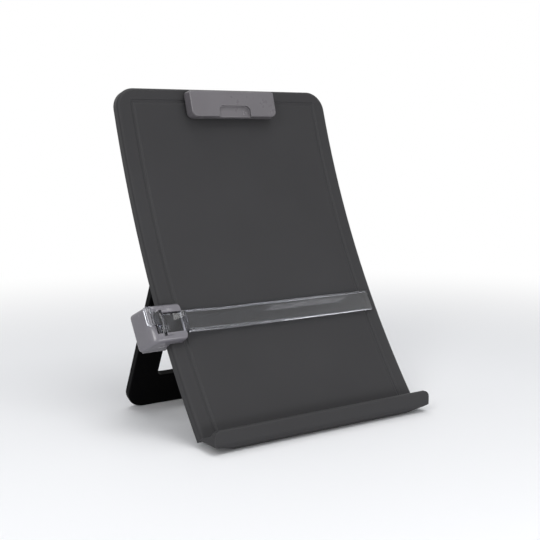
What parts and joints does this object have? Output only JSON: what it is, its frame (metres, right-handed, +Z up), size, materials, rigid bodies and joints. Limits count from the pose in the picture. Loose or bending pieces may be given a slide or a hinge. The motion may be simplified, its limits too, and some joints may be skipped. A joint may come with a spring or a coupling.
{
  "type": "copy holder with line guide",
  "caption": "Curved upright document board on a folding stand leg, with a ledge, a sprung clip and a clear line guide on a slider.",
  "frame": {"origin": "on the desk, under the middle of the ledge, at the middle rubber pad's underside", "axes": "+Z up, -Y faces the reader, +X to the reader's right"},
  "size_m": [0.2636, 0.1816, 0.304],
  "materials": {
    "charcoal": "fine satin texture",
    "black": "fine satin texture",
    "warm_grey": "semi-gloss",
    "clip_grey": "satin",
    "clear": "clear, polished",
    "steel": "plain",
    "rubber": "matte"
  },
  "bodies": {
    "holder": {"board_panel": "charcoal", "ledge": "charcoal", "ledge_pads": "rubber", "ledge_screws": "steel", "hinge_pins": "black", "clip_base": "clip_grey", "clip_screws": "steel", "clip_pin": "steel", "clip_spring": "steel"},
    "stand": {"stand_leg": "black", "leg_feet": "rubber"},
    "clip": {"clip_cover": "clip_grey", "clip_grip": "rubber"},
    "slider": {"slider_housing": "warm_grey", "slider_cover": "warm_grey", "slider_screws": "steel", "slider_shoe": "warm_grey", "slider_leaf": "steel", "guide_pin": "steel"},
    "guide": {"line_guide": "clear"}
  },
  "joints": [
    {"name": "leg_fold", "type": "hinge", "parent": "holder", "child": "stand", "pos_m": [0, 0.10118, 0.13692], "axis": [-1, 0, 0], "range_deg": [0, 57.5]},
    {"name": "clip_lift", "type": "hinge", "parent": "holder", "child": "clip", "pos_m": [0, 0.14789, 0.29783], "axis": [-1, 0, 0], "range_deg": [0, 25], "stiffness_Nm_per_rad": 0.05, "springref_deg": -20.05, "deforming": ["clip_spring"]},
    {"name": "slider_travel", "type": "hinge", "parent": "holder", "child": "slider", "pos_m": [0, -0.64601, 0.5253], "axis": [1, 0, 0], "range_deg": [-5.9, 12.6]},
    {"name": "guide_tip", "type": "hinge", "parent": "slider", "child": "guide", "pos_m": [-0.1256, 0.06255, 0.09963], "axis": [0, -0.515, -0.8572], "range_deg": [0, 9]}
  ]
}
